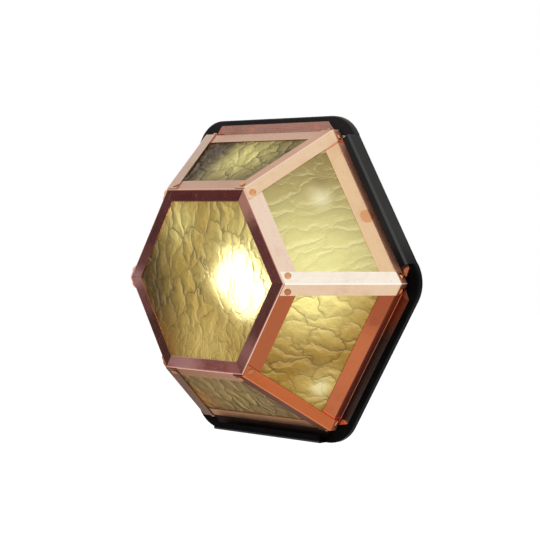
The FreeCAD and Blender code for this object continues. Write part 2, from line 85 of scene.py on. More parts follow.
# %% A value for shader sums
class Value:
    """One output of a shader node, for use in sums."""

    def __init__(self, finish, socket):
        self.finish = finish
        self.socket = socket

    def math(self, operation, *others):
        inputs = dict(enumerate((self,) + others))
        return self.finish.add("ShaderNodeMath", {"operation": operation}, inputs)

    def vector(self, operation, other, output="Vector"):
        second = other if isinstance(other, Value) else tuple(other)
        return self.finish.add("ShaderNodeVectorMath", {"operation": operation}, {0: self, 1: second}, output)

    def __add__(self, other):
        return self.math("ADD", other)

    def __sub__(self, other):
        return self.math("SUBTRACT", other)

    def __mul__(self, other):
        return self.math("MULTIPLY", other)

    def __truediv__(self, other):
        return self.math("DIVIDE", other)

    def __rsub__(self, other):
        return (self * -1) + other

    __radd__ = __add__
    __rmul__ = __mul__

    def along(self, direction):
        """How far this place lies along a direction."""
        return self.vector("DOT_PRODUCT", direction, "Value")

    def apart(self, centre):
        """How far this place lies from a point."""
        return self.vector("DISTANCE", centre, "Value")

    def step(self, low, high):
        """0 below low and 1 above high, with a soft change between them. Low may be the larger."""
        return self.finish.add("ShaderNodeMapRange", {"interpolation_type": "SMOOTHSTEP"},
                               {"Value": self, "From Min": low, "From Max": high})


# %% [markdown]
# Finish holds a material, adds any other node with its settings and inputs, and ends in a Principled
# BSDF. The patterns that this light needs, such as noise and cells, get a short method each.


# %% A finish that is built up by expressions
class Finish:
    """A material and its tree of nodes."""

    def __init__(self, name):
        self.material = bpy.data.materials.new(name)
        self.material.use_nodes = True
        self.tree = self.material.node_tree
        self.shader = self.tree.nodes["Principled BSDF"]

    def add(self, kind, settings=None, inputs=None, output=0):
        node = self.tree.nodes.new(kind)
        for key, setting in (settings or {}).items():
            setattr(node, key, setting)
        for key, value in (inputs or {}).items():
            self.feed(node.inputs[key], value)
        return Value(self, node.outputs[output])

    def feed(self, socket, value):
        if isinstance(value, Value):
            self.tree.links.new(value.socket, socket)
        else:
            socket.default_value = value

    def surface(self, **inputs):
        """Set the shader's sockets, with spaces in their names written as underscores."""
        for key, value in inputs.items():
            self.feed(self.shader.inputs[key.replace("_", " ")], value)
        return self.material

    def place(self):
        return self.add("ShaderNodeTexCoord", output="Object")

    def combine(self, x, y, z):
        return self.add("ShaderNodeCombineXYZ", {}, {0: x, 1: y, 2: z})

    def noise(self, at, scale, detail=3.0, roughness=0.5):
        return self.add("ShaderNodeTexNoise", {},
                        {"Vector": at, "Scale": scale, "Detail": detail, "Roughness": roughness})

    def cells(self, at, scale):
        """How far a place lies from the edge of its Voronoi cell."""
        settings = {"voronoi_dimensions": "2D", "feature": "DISTANCE_TO_EDGE"}
        return self.add("ShaderNodeTexVoronoi", settings, {"Vector": at, "Scale": scale}, "Distance")

    def mix(self, factor, first, second, blend="MIX"):
        settings = {"data_type": "RGBA", "blend_type": blend}
        return self.add("ShaderNodeMix", settings, {0: factor, 6: first, 7: second}, 2)

    def times(self, colour, other):
        return self.mix(1.0, colour, other, "MULTIPLY")

    def bump(self, height, strength, distance):
        return self.add("ShaderNodeBump", {}, {"Height": height, "Strength": strength, "Distance": distance})


# %% [markdown]
# Colours are written as the screen shows them, from 0 to 255, which is easy to judge. Shaders
# reckon with linear light, so each colour is turned into that on the way.


# %% Colours and dressing
def rgb(red, green, blue):
    """A colour as the screen shows it, turned into the linear one that shaders use."""
    def linear(value):
        share = value / 255
        return share / 12.92 if share <= 0.04045 else ((share + 0.055) / 1.055) ** 2.4
    return (linear(red), linear(green), linear(blue), 1.0)


def dress(node, material):
    """Give a solid one material all over."""
    mesh = nodes[node].data
    mesh.materials.clear()
    mesh.materials.append(material)


# %% [markdown]
# Every strip is straight, and the marks of rolling and rubbing run along it. The directions of the six
# sides and of the ridges between them could be typed in, but the solids already hold them: the largest
# face of a side's pane gives its normal, and the side and its slope lie square to that normal.


# %% Directions of the sides
def broad_normal(node):
    """Outward normal of a solid's broadest face."""
    faces = nodes[node].data.polygons
    normal = max(faces, key=lambda face: face.area).normal.copy()
    low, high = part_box(node)
    middle = (low + high) / 2
    away = Vector((middle.x, -1e-3, middle.z))
    return normal if normal.dot(away) > 0 else -normal


def outward(side):
    """Direction from the axis square to a side, in the plane of the plate."""
    normal = pane_normals[side]
    return Vector((normal.x, 0, normal.z)).normalized()


axis_out = Vector((0, -1, 0))
pane_normals = [broad_normal(f"side_glass_{side + 1}") for side in sides]
next_normals = pane_normals[1:] + pane_normals[:1]
side_runs = [axis_out.cross(normal).normalized() for normal in pane_normals]
slopes = [run.cross(normal).normalized() for run, normal in zip(side_runs, pane_normals)]
ridges = [normal.cross(other).normalized() for normal, other in zip(pane_normals, next_normals)]
corners = [(normal - other).normalized() for normal, other in zip(pane_normals, next_normals)]
print("first slope", [round(value, 3) for value in slopes[0]])

# %% [markdown]
# Copper sheet is rolled, so it has fine streaks along its length, soft clouds of tarnish, a small mottle
# and pin-prick pits. Noise gives all four. For the streaks its coordinates are pressed together along the
# strip, which draws every speck of the noise out into a line. The front faces were wiped in all
# directions, so they also get short scratches at three angles.

# %% Grain and scratches of the sheet
streak_press = 0.97
streak_scale = 1300.0
cloud_scale = 30.0
mottle_scale = 190.0
pit_scale = 620.0
scratch_angles = (0.2, 1.3, 2.3)
scratch_length_scale = 120.0
scratch_width_scale = 2400.0
scratch_tone = rgb(255, 214, 200)


def copper_grain(finish, place, along):
    """Streaks, clouds, mottle and pits."""
    back = finish.add("ShaderNodeVectorMath", {"operation": "SCALE"},
                      {0: tuple(along), "Scale": place.along(along) * -streak_press})
    streaks = finish.noise(place.vector("ADD", back), streak_scale, 3.0, 0.6)
    clouds = finish.noise(place, cloud_scale, 5.0, 0.6)
    mottle = finish.noise(place, mottle_scale, 3.0, 0.6)
    pits = finish.noise(place, pit_scale, 1.0).step(0.71, 0.77)
    return streaks, clouds, mottle, pits


def scratched(finish, place, colour, share):
    """A colour with thin pale scratches on it."""
    for angle in scratch_angles:
        across = place.along((math.cos(angle), 0, math.sin(angle))) * scratch_length_scale
        down = place.along((-math.sin(angle), 0, math.cos(angle))) * scratch_width_scale
        marks = finish.noise(finish.combine(across, down, angle), 1.0, 2.0).step(0.67, 0.75)
        colour = finish.mix(marks * share, colour, scratch_tone)
    return colour


# %% [markdown]
# Each leg of a strip has its own tone, from pale peach to deep red brown: partly the copper's own uneven
# patina, partly painted light and shade, paler where a leg faces or mirrors the bright studio and darker
# where it lies in shade. Its folds and edges get painted highlights, partly bare rubbed metal. One
# function makes the finish from three kinds of marks. A Layer is a leg, all that lies beyond a plane. A
# line follows a fold, an edge or a gap and is painted light: a highlight, or a warm glow in a gap. A round
# mark is soft from its core outwards: a real stain, or a painted highlight or shade. Painting all of this
# by hand would need an image for every strip, and planes and balls need only a few numbers.

# %% Copper finish
Layer = namedtuple("Layer", "direction offset tone duller tarnish", defaults=(0.0, 0.0))
Line = namedtuple("Line", "direction offset width tone")
StainOrHighlight = namedtuple("StainOrHighlight", "centre radius tone duller core")
tarnish_share = 0.25
layer_blend = 0.0002
tarnish_tint = (0.62, 0.45, 0.38, 1.0)
rubbed_tint = (1.22, 1.20, 1.18, 1.0)
pit_tone = (0.10, 0.04, 0.03, 1.0)


def copper(name, tone, along, layers=(), painted_lines=(), stains_and_highlights=(), roughness=0.22, scratches=0.0):
    """Copper sheet with its grain, the tones of its legs with painted light and shade, its lines of painted
    highlight and glow, and its stains and painted highlights.
    """
    finish = Finish(name)
    place = finish.place()
    streaks, clouds, mottle, pits = copper_grain(finish, place, along)
    colour = tone
    dullness = 0.0
    worn = tarnish_share
    beyond = 1.0
    # Each leg's tone is partly patina, partly painted light and shade.
    for layer in layers:
        beyond = place.along(layer.direction).step(layer.offset - layer_blend, layer.offset + layer_blend)
        colour = finish.mix(beyond, colour, layer.tone)
        dullness = beyond * layer.duller + dullness
        worn = beyond * layer.tarnish + worn
    patches = clouds.step(0.48, 0.74) + mottle.step(0.5, 0.8) * 0.6
    colour = finish.mix(patches * worn, colour, finish.times(colour, tarnish_tint))
    colour = finish.mix(streaks.step(0.45, 0.75) * 0.35, colour, finish.times(colour, rubbed_tint))
    # Round marks: real stains, and painted highlights and shade.
    for stain_or_highlight in stains_and_highlights:
        apart = place.apart(stain_or_highlight.centre) + (mottle - 0.5) * (stain_or_highlight.radius * 0.4)
        spot = apart.step(stain_or_highlight.radius, stain_or_highlight.radius * stain_or_highlight.core) * 0.8
        if scratches:
            spot = spot * beyond
        colour = finish.mix(spot, colour, stain_or_highlight.tone)
        dullness = spot * stain_or_highlight.duller + dullness
    # Lines: painted highlights along folds and edges, painted glow in gaps.
    for painted_line in painted_lines:
        apart = (place.along(painted_line.direction) - painted_line.offset).math("ABSOLUTE")
        colour = finish.mix(apart.step(painted_line.width, painted_line.width * 0.4) * 0.7, colour, painted_line.tone)
    colour = finish.mix(pits * 0.18, colour, pit_tone)
    if scratches:
        colour = scratched(finish, place, colour, beyond * clouds.step(0.40, 0.60) * scratches)
    rough = clouds.step(0.35, 0.7) * 0.08 + streaks * 0.08 + dullness + (roughness - 0.06)
    normal = finish.bump(streaks * 0.5 + mottle * 0.8 - pits * 0.5, 0.10, 0.0008)
    return finish.surface(Base_Color=colour, Metallic=1.0, Roughness=rough, Normal=normal)


# %% [markdown]
# The planes of the legs and folds have to lie where the sheet is folded, so they are measured on the
# solids: the front face, the flange's and the skirt's outer faces, the inner and outer edge of the front
# frame, and how far a corner strip reaches from its ridge.

# %% Measure the copper work
flange_sheet = 0.0013
skirt_inset = 0.0093
front_face = -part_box("front_strip_1")[0].y
flange_face = -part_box("base_strip_1")[1].y + flange_sheet
skirt_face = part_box("base_strip_1")[1].z - skirt_inset
just_behind = -front_face + 0.0002
face_reaches = [vertex.co.dot(outward(0)) for vertex in nodes["front_strip_1"].data.vertices
                if vertex.co.y < just_behind]
strip_inner = min(face_reaches)
front_apothem = max(face_reaches)
corner_reach = max(vertex.co.dot(corners[0]) for vertex in nodes["corner_strip_1"].data.vertices)
print("front strip from", round(strip_inner, 4), "to", round(front_apothem, 4))
print("corner strip reach", round(corner_reach, 4))

# %% [markdown]
# The front frame is the darkest copper, a deep red brown, partly an oxide tone and partly painted shade;
# the dim left front that its faces mirror darkens it further. Paler clouds near the corners are painted
# highlights. The leg behind each face is bright, with a tone for each side that holds painted light and
# shade. The sheet's own edges are bare, and a thin light line follows the fold, the inner and the outer
# edge: painted highlights, partly the bare metal. Sides count from the top, clockwise.

# %% Dress the front frame
# Painted highlight for the folds.
pale_fold_highlight = rgb(246, 214, 196)
# Tones of the faces and of the legs behind them, per side: partly patina, partly painted light and shade.
front_tones_and_painted_light = [rgb(128, 68, 64), rgb(152, 90, 84), rgb(140, 86, 78),
               rgb(178, 108, 102), rgb(108, 70, 62), rgb(132, 82, 78)]
front_leg_tones_and_painted_light = [rgb(186, 144, 120), rgb(236, 210, 188), rgb(162, 90, 58),
                   rgb(168, 112, 74), rgb(170, 96, 62), rgb(226, 190, 160)]
# Painted highlights along the edges, partly the bare metal.
edge_highlight_tones = [rgb(214, 150, 130), rgb(206, 142, 122), rgb(172, 112, 94),
              rgb(190, 130, 116), rgb(196, 120, 90), rgb(196, 120, 90)]
inner_highlight_tones = edge_highlight_tones[:3] + [rgb(246, 206, 176), rgb(255, 168, 104)] + edge_highlight_tones[5:]
# Paler clouds on the faces: painted highlights.
left_tip_highlight = StainOrHighlight((-0.086, -0.101, 0.000), 0.020, rgb(216, 160, 160), 0.12, 0.1)
front_highlights = {1: [StainOrHighlight((0.048, -0.101, 0.068), 0.030, rgb(236, 172, 150), 0.10, 0.1)],
               2: [StainOrHighlight((0.052, -0.101, -0.060), 0.022, rgb(182, 124, 116), 0.10, 0.1)],
               3: [StainOrHighlight((-0.026, -0.101, -0.077), 0.034, rgb(208, 152, 146), 0.08, 0.2),
                   StainOrHighlight((0.036, -0.101, -0.077), 0.011, rgb(178, 112, 104), 0.05, 0.2)],
               4: [left_tip_highlight, StainOrHighlight((-0.074, -0.101, -0.020), 0.026, rgb(164, 106, 98), 0.05, 0.2)],
               5: [left_tip_highlight, StainOrHighlight((-0.076, -0.101, 0.018), 0.022, rgb(144, 90, 84), 0.05, 0.2)]}
face_start = front_face - 0.0004
front_fold = front_face - 0.0005
inner_edge = strip_inner + 0.0002
outer_edge = front_apothem - 0.0003
for side in sides:
    front_layers = [Layer(axis_out, face_start, front_tones_and_painted_light[side], tarnish=0.55)]
    front_highlight_lines = [Line(axis_out, front_fold, 0.0004, pale_fold_highlight),
                   Line(outward(side), inner_edge, 0.0006, inner_highlight_tones[side]),
                   Line(outward(side), outer_edge, 0.0005, edge_highlight_tones[side])]
    front_copper = copper(f"front copper {side + 1}", front_leg_tones_and_painted_light[side], side_runs[side], front_layers,
                          front_highlight_lines, front_highlights.get(side, []), roughness=0.25, scratches=0.4)
    dress(f"front_strip_{side + 1}", front_copper)
print("front strips dressed:", len(front_tones_and_painted_light))

# %% [markdown]
# A base strip has three legs of different tones: the sloping leg that holds the pane, the skirt and the
# flange. The tones are partly patina and partly painted light and shade: the flanges on the right and
# below and the bottom skirt are painted dark, as shade. Round heat marks stay where tabs were soldered
# behind the sheet. The snipped ends of the flanges on the right, beyond the channels, get painted
# highlights and painted shade. A painted warm red glow, standing for light reflected between the copper
# layers, follows the gap beside a corner strip, and a painted highlight follows the flange's fold where no
# channel covers it. Each mark has its place in the shared frame, so that it stays on the strip in every
# pose.

# %% Dress the base strips
# A painted highlight for the flange fold and a painted warm glow for the gaps.
warm_fold_highlight = rgb(238, 150, 104)
gap_glow_tone = rgb(230, 92, 54)
solder_mark = rgb(206, 140, 120)
# Tones of legs, flanges and skirts per side: partly patina, partly painted light and shade; the dark flanges
# on the right and below and the dark bottom skirt are painted shade.
base_leg_tones_and_painted_light = [rgb(194, 154, 128), rgb(229, 194, 153), rgb(179, 102, 66),
                  rgb(176, 128, 90), rgb(176, 100, 66), rgb(214, 176, 146)]
flange_tones_and_painted_light = [rgb(186, 136, 122), rgb(84, 56, 46), rgb(72, 60, 56),
                rgb(44, 32, 28), rgb(96, 58, 44), rgb(170, 124, 108)]
skirt_tones_and_painted_light = [rgb(170, 120, 100), rgb(255, 200, 168), rgb(138, 70, 54),
               rgb(60, 40, 32), rgb(120, 68, 48), rgb(170, 122, 102)]
heat_marks = {0: [StainOrHighlight((-0.028, -0.0072, 0.140), 0.0042, solder_mark, 0.0, 0.6),
                  StainOrHighlight((0.052, -0.0072, 0.140), 0.0036, solder_mark, 0.0, 0.6)],
              1: [StainOrHighlight((0.1198, -0.0186, 0.0585), 0.0074, rgb(216, 148, 100), 0.0, 0.72)],
              2: [StainOrHighlight((0.143, -0.020, -0.013), 0.046, rgb(146, 74, 48), 0.0, 0.3),
                  StainOrHighlight((0.133, -0.022, -0.034), 0.0064, rgb(150, 78, 52), 0.0, 0.5)]}
# Painted highlights, and one painted shade, on the snipped ends of the flanges.
tip_painted_light = {(1, 1): rgb(255, 240, 222), (1, -1): rgb(250, 168, 122),
             (2, 1): rgb(150, 84, 66), (2, -1): rgb(255, 132, 84)}
gap_glow_corners = {0: [5], 1: [0], 2: [2], 4: [3], 5: [5]}
channel_sides = (1, 3)
tip_out = 0.1412
tip_aside = 0.0700
tip_depth = 0.0072
tip_radius = 0.0050
skirt_start = skirt_face - 0.0003
flange_fold = flange_face + 0.0002
gap_glow_reach = corner_reach + 0.0004


def tip_painted_light_mark(side, end):
    """Painted highlight, or at one tip painted shade, on the snipped end of a flange. The end is 1 along the
    side's run and -1 against it.
    """
    centre = outward(side) * tip_out + side_runs[side] * tip_aside * end + axis_out * tip_depth
    return StainOrHighlight(centre, tip_radius, tip_painted_light[side, end], duller=0.5, core=0.8)


def base_light_lines(side):
    """Painted warm glow in the open gaps beside the corner strips and, where no channel covers it, a painted
    highlight on the fold of the flange.
    """
    painted_lines = []
    for corner in gap_glow_corners.get(side, []):
        towards = corners[corner] if corner == side else -corners[corner]
        painted_lines.append(Line(towards, gap_glow_reach, 0.0007, gap_glow_tone))
    if side not in channel_sides:
        painted_lines.append(Line(axis_out, flange_fold, 0.0005, warm_fold_highlight))
    return painted_lines


for side in sides:
    base_layers = [Layer(outward(side), skirt_start, skirt_tones_and_painted_light[side], duller=0.48 if side == 1 else 0.30),
                   Layer(-axis_out, -flange_face, flange_tones_and_painted_light[side], duller=-0.28)]
    tip_light_marks = [tip_painted_light_mark(side, end) for end in (-1, 1) if (side, end) in tip_painted_light]
    base_copper = copper(f"base copper {side + 1}", base_leg_tones_and_painted_light[side], side_runs[side], base_layers,
                         base_light_lines(side), heat_marks.get(side, []) + tip_light_marks,
                         roughness=0.40 if side == 3 else 0.22)
    dress(f"base_strip_{side + 1}", base_copper)
print("base strips dressed:", len(base_leg_tones_and_painted_light))

# %% [markdown]
# A corner strip covers the ridge between two panes. Its two legs face different ways and get different
# tones, partly patina and partly painted light and shade. Its feet lie duller on the skirts, their tones
# partly painted light and shade too, and the ridge carries a thin painted highlight, partly rubbed bright.
# The pieces behind the panes and the rivets are of the same metal, golden above and browner below.

# %% Dress the corner strips and the small copper pieces
# Tones of the two legs and of the feet, per side: partly patina, partly painted light and shade.
corner_tones_and_painted_light = [(rgb(194, 148, 118), rgb(230, 198, 164)), (rgb(248, 237, 220), rgb(216, 187, 158)),
                (rgb(178, 96, 56), rgb(108, 58, 38)), (rgb(120, 80, 60), rgb(170, 98, 64)),
                (rgb(190, 116, 80), rgb(210, 166, 136)), (rgb(214, 176, 146), rgb(188, 158, 138))]
foot_tones_and_painted_light = [rgb(226, 160, 130), rgb(226, 160, 130), rgb(190, 110, 84),
              rgb(150, 96, 74), rgb(190, 120, 94), rgb(216, 158, 132)]
# Painted highlights along the ridges.
ridge_highlight_tones = [pale_fold_highlight, rgb(255, 252, 246), rgb(214, 134, 92), rgb(190, 124, 96), pale_fold_highlight, pale_fold_highlight]
foot_face = skirt_face + 0.0008
foot_duller = 0.3
for side in sides:
    after = (side + 1) % 6
    near_tone, far_tone = corner_tones_and_painted_light[side]
    corner_layers = [Layer(-corners[side], 0.0, far_tone, duller=0.35 if side == 2 else 0.0),
                     Layer(outward(side), foot_face, foot_tones_and_painted_light[side], foot_duller),
                     Layer(outward(after), foot_face, foot_tones_and_painted_light[after], foot_duller)]
    ridge_highlight = Line(corners[side], 0.0, 0.0010, ridge_highlight_tones[side])
    dress(f"corner_strip_{side + 1}", copper(f"corner copper {side + 1}", near_tone, ridges[side],
                                             corner_layers, [ridge_highlight]))
lower_brown = Layer((0, 0, -1), 0.002, rgb(178, 112, 76), tarnish=0.2)
rivet_copper = copper("rivet copper", rgb(214, 156, 110), (0, 0, 1), [lower_brown])
for node in ("side_glass_tabs", "front_glass_tabs", "key_studs"):
    dress(node, rivet_copper)
print("corner strips dressed:", len(corner_tones_and_painted_light))

# %% [markdown]
# The panes are rolled glass. Its face is puckered into long soft pillows with creases between them, which
# run down the front pane and up the slope of the side panes. A Voronoi pattern has such cells: its
# coordinates are stretched to the pillows' width and length and bent by noise, so that no edge stays
# straight. Away from a cell's edge the glass swells. A finer set of cells fills the places where the
# large ones fade, and the lower part of the front pane is smoother, with fine creases only. A small
# ringed bubble sits near its middle.

# %% Wrinkles of the glass
Wrinkles = namedtuple("Wrinkles", "edge fine_edge shown wrinkled crease fine_crease ripples pillow height")
slow_bend_scale = 42.0
quick_bend_scale = 190.0
quick_bend = 0.28
fine_cell_scale = 2.2
aside_shift = (0.31, 0.17, 0.53)
fine_shift = (3.7, 8.1, 0.0)
bubble_rings = 3600.0
bubble_outer = 0.0062
bubble_inner = 0.0030


def glass_wrinkles(finish, place, along, across, seed, look):
    """Cells, creases and height of a pane's face."""
    aside = place.vector("ADD", aside_shift)
    column = place.along(across) / look["width"] + (finish.noise(aside, slow_bend_scale, 2.0) - 0.5) * 1.5
    column = column + seed + (finish.noise(aside, quick_bend_scale, 2.0) - 0.5) * quick_bend
    row = place.along(along) / look["length"] + (finish.noise(place, slow_bend_scale, 2.0) - 0.5) * 1.3
    row = row + (finish.noise(place, quick_bend_scale, 2.0) - 0.5) * quick_bend
    at = finish.combine(column, row, 0.0)
    edge = finish.cells(at, 1.0)
    fine_edge = finish.cells(at.vector("ADD", fine_shift), fine_cell_scale)
    shown = finish.noise(at, 0.55, 1.0).step(0.36, 0.60)
    wrinkled = 1 - place.along((0, 0, -1)).step(*look["smooth_span"]) * look["smooth"]
    crease = edge.step(0.045, 0.0) * (shown * 0.75 + 0.25) * wrinkled
    fine_crease = fine_edge.step(0.050, 0.0) * ((1 - shown) * look["fine"] * 2.5 + (1 - wrinkled) * 0.8)
    ripples = finish.noise(at, 1.4, 3.0, 0.55)
    grain = finish.noise(finish.combine(column * 5, row * 6, seed), 1.0, 3.0, 0.6)
    pillow = edge / (edge + 0.30) * (shown * 0.5 + 0.5) * wrinkled * 1.5
    fine_pillow = fine_edge / (fine_edge + 0.15) * ((1 - wrinkled) * 0.7 + look["fine"])
    height = pillow + fine_pillow + ripples * 0.6 + grain * 0.08
    if "bubble" in look:
        apart = place.apart(look["bubble"])
        height = height + (apart * bubble_rings).math("SINE") * apart.step(bubble_outer, bubble_inner) * 0.25
    return Wrinkles(edge, fine_edge, shown, wrinkled, crease, fine_crease, ripples, pillow, height)


# %% [markdown]
# Most of the bulb's light is scattered in the amber body of the glass, so the body seems to glow by
# itself. Tracing that through real scattering glass is slow and noisy. Instead the body gives off a
# little light of its own: more near the places where the bulb shines through, more on the slopes that
# lean one way, less in the hollows between the pillows, and little in the corners far from the bulb.
# Creases take a painted tint: painted shade on most panes, a painted highlight on the palest one. The
# far corners are painted dark amber, in the body and the clear glass alike: painted shade for the dark
# inside.

# %% Glow of the glass
shaded_amber = rgb(84, 62, 34)
glint_tone = rgb(246, 240, 204)
glint_soft = 0.16
least_slope_light = 0.15


def glass_glow(finish, place, normal, look, wrinkles, bent):
    """Tint of the body, colour of its glow and the share that lies in the dark."""
    lit = 0.0
    for centre, reach, weight in look["centres"]:
        lit = (place.apart(centre).step(reach, 0.0) * weight).math("MAXIMUM", lit)
    tint = finish.mix(lit, look["tint"], look["lit_tint"])
    # Painted shade: the far corner turns dark amber, for the dark inside seen through the glass.
    dark = place.along(look["dark_from"]).step(*look["dark_span"]) * look["dark"]
    tint = finish.mix(dark, tint, shaded_amber)
    # Painted light and shade in the creases: dark on most panes, pale on the palest one.
    creased = (wrinkles.crease + wrinkles.fine_crease) * look["crease"]
    tint = finish.mix(creased, tint, look["crease_light_and_shade"])
    tilt = bent.along(look["lean"]) - normal.dot(Vector(look["lean"]))
    hollow = (1 - wrinkles.edge.step(0.0, 0.26)) * (wrinkles.shown * 0.6 + 0.4)
    hollow = hollow + (1 - wrinkles.fine_edge.step(0.0, 0.22)) * (1 - wrinkles.shown) * 0.7
    shade = hollow * look["shade"] * (1 - lit * 0.45) * wrinkles.wrinkled
    swell = 1 + look["shade"] * 0.45 - shade
    slope_light = (tilt * look["contrast"] + 1).math("MAXIMUM", least_slope_light)
    glow = (lit * look["gain"] + look["ambient"]) * slope_light * swell
    colour = finish.times(tint, finish.combine(glow, glow, glow))
    glint = tilt.step(look["glint_from"], look["glint_from"] + glint_soft) * look["glint"]
    colour = finish.mix(glint, colour, glint_tone)
    # Painted spots of light and shade in the glow; the palest are painted reflections of the studio lights.
    for centre, radius, painted_spot_tone, strength in look["patches"]:
        apart = place.apart(centre) + (wrinkles.ripples - 0.5) * radius
        colour = finish.mix(apart.step(radius, 0.0) * strength, colour, painted_spot_tone)
    return tint, colour, dark


# %% [markdown]
# The rest of the light goes nearly straight through, which shows the bulb as a blurred disc. So a pane is
# two shaders in one: clear rough glass, bent gently by the pillows, and the glowing body, bent by every
# wrinkle. A Mix Shader sets how much of each is seen.

# %% Amber glass finish
clear_amber = rgb(242, 237, 205)
body_depth = (0.45, 0.45, 0.45, 1.0)


def amber_glass(name, normal, along, across, seed, look):
    finish = Finish(name)
    place = finish.place()
    wrinkles = glass_wrinkles(finish, place, along, across, seed, look)
    bent = finish.bump(wrinkles.height, 1.0, look["relief"])
    gently_bent = finish.bump(wrinkles.pillow + wrinkles.ripples * 0.5, 1.0, look["relief"] * 0.35)
    tint, glow, dark = glass_glow(finish, place, normal, look, wrinkles, bent)
    # Painted shade in the clear glass too: dark amber in the far corner, and the crease tint.
    clear_tint = finish.mix(dark * 0.9, clear_amber, shaded_amber)
    clear_tint = finish.mix(wrinkles.crease * 0.3, clear_tint, look["crease_light_and_shade"])
    finish.surface(Base_Color=clear_tint, Roughness=0.34, Transmission_Weight=1.0, IOR=1.3,
                   Normal=gently_bent)
    clear = Value(finish, finish.shader.outputs["BSDF"])
    body = finish.add("ShaderNodeBsdfPrincipled", {},
                      {"Base Color": finish.times(tint, body_depth), "Roughness": 0.30, "Normal": bent,
                       "IOR": 1.18, "Emission Color": glow, "Emission Strength": 1.0})
    both = finish.add("ShaderNodeMixShader", {}, {0: look["body"], 1: clear, 2: body})
    finish.feed(finish.tree.nodes["Material Output"].inputs["Surface"], both)
    return finish.material


# %% [markdown]
# Each pane has a look of its own. Width and length are a pillow's size and relief is its depth. Fine is
# the share of fine creases, and smooth calms the pillows downwards. Body is the share of the glowing
# shader. Centres are bright places with their reach and weight, gain is how much they add to the ambient
# glow, and patches are single painted spots of light and shade in the glow, the palest of them painted
# reflections of the studio lights. The crease tint is painted shade, and on the palest pane a painted
# highlight. Lean, contrast and glint light the slopes, shade darkens the hollows and dark the far corner.

# %% Dress the front pane
front_look = dict(
    width=0.0150, length=0.025, relief=0.0030, fine=0.10, smooth=0.5, smooth_span=(0.008, 0.055),
    bubble=(-0.006, -0.100, 0.0), body=0.65, tint=rgb(196, 166, 88), lit_tint=rgb(214, 203, 132),
    crease_light_and_shade=rgb(96, 84, 12), crease=0.85, gain=0.22, ambient=0.50, contrast=1.12, shade=0.34,
    lean=(1.0, 0.0, 0.2), glint=0.10, glint_from=0.26,
    dark=0.95, dark_from=(-1, 0, -0.2), dark_span=(0.020, 0.072),
    centres=[((0.046, -0.100, 0.014), 0.078, 1.0), ((-0.032, -0.100, 0.050), 0.036, 0.7),
             ((0.004, -0.100, -0.054), 0.046, 0.6)],
    patches=[((0.004, -0.100, -0.056), 0.056, rgb(172, 130, 58), 0.45),
             ((-0.050, -0.100, -0.056), 0.036, rgb(134, 92, 36), 0.55)])
dress("front_glass", amber_glass("front glass", axis_out, (0, 0, 1), (1, 0, 0), 3.0, front_look))
print("front pane: pillows of", front_look["width"], "by", front_look["length"], "m")

# %% [markdown]
# The upper right pane is the palest, because the bulb stands behind its lower end. The lower panes are
# golden, with painted brown shade in their creases, the top pane is painted dark at its left as shade, and
# the bottom pane gets the least light.
# The two panes on the hidden left take the looks of the right ones with their bright places on the other
# side.

# %% Dress the side panes
seed_step = 11.0
# Pale patches in these looks are painted reflections of the studio lights; darker ones are painted shade.
side_look = dict(
    width=0.0145, length=0.042, relief=0.0016, fine=0.08, smooth=0.0, smooth_span=(0.0, 1.0), body=0.80,
    tint=rgb(168, 142, 88), lit_tint=rgb(228, 221, 153), crease_light_and_shade=rgb(240, 232, 164), crease=0.20,
    gain=0.38, ambient=0.36, contrast=0.55, shade=0.12, lean=(0.0, 0.2, -1.0), glint=0.22, glint_from=0.12,
    dark=0.0, dark_from=(-1, 0, 0), dark_span=(0.0, 1.0), centres=[((0.102, -0.070, 0.012), 0.138, 1.0)],
    patches=[((0.0898, -0.047, 0.0752), 0.017, rgb(232, 226, 194), 0.6),
             ((0.0856, -0.0421, 0.0886), 0.012, rgb(104, 80, 42), 0.5)])
low_look = dict(
    side_look, width=0.016, length=0.030, relief=0.0028, fine=0.10, tint=rgb(192, 151, 66),
    lit_tint=rgb(240, 226, 146), crease_light_and_shade=rgb(104, 74, 20), crease=0.62, gain=0.46, ambient=0.36,
    contrast=0.75, shade=0.24, lean=(0.2, 0.0, 1.0), glint=0.12, glint_from=0.22,
    centres=[((0.104, -0.074, -0.008), 0.075, 1.0), ((0.085, -0.038, -0.093), 0.036, 0.45)],
    patches=[((0.0844, -0.0364, -0.0956), 0.013, rgb(232, 228, 190), 0.55),
             ((0.0885, -0.0487, -0.0729), 0.014, rgb(90, 72, 36), 0.55)])
top_look = dict(
    side_look, width=0.015, length=0.024, relief=0.0030, fine=0.14, body=0.90, tint=rgb(138, 120, 62),
    lit_tint=rgb(208, 196, 118), crease_light_and_shade=rgb(34, 28, 8), crease=0.85, gain=0.32, ambient=0.25,
    contrast=1.0, shade=0.42, lean=(1.0, 0.3, 0.0), glint=0.10, glint_from=0.24,
    dark=0.98, dark_span=(0.012, 0.042), centres=[((0.002, -0.052, 0.111), 0.056, 1.0)], patches=[])
bottom_look = dict(
    side_look, width=0.014, length=0.028, relief=0.0030, fine=0.14, tint=rgb(140, 108, 50),
    lit_tint=rgb(156, 128, 64), crease_light_and_shade=rgb(52, 38, 12), crease=0.75, gain=0.10, ambient=0.31,
    contrast=1.0, shade=0.36, lean=(1.0, 0.0, 0.3), glint=0.10, glint_from=0.26,
    dark=0.12, dark_span=(0.034, 0.064), centres=[((0.0, -0.060, -0.106), 0.060, 1.0)],
    patches=[((-0.060, -0.046, -0.113), 0.034, rgb(158, 102, 42), 0.6)])
low_left_look = dict(
    low_look, centres=[((-0.104, -0.074, -0.008), 0.075, 1.0), ((-0.085, -0.038, -0.093), 0.034, 0.5)],
    patches=[])
upper_left_look = dict(side_look, centres=[((-0.102, -0.070, 0.012), 0.138, 1.0)], patches=[])
pane_looks = [top_look, side_look, low_look, bottom_look, low_left_look, upper_left_look]
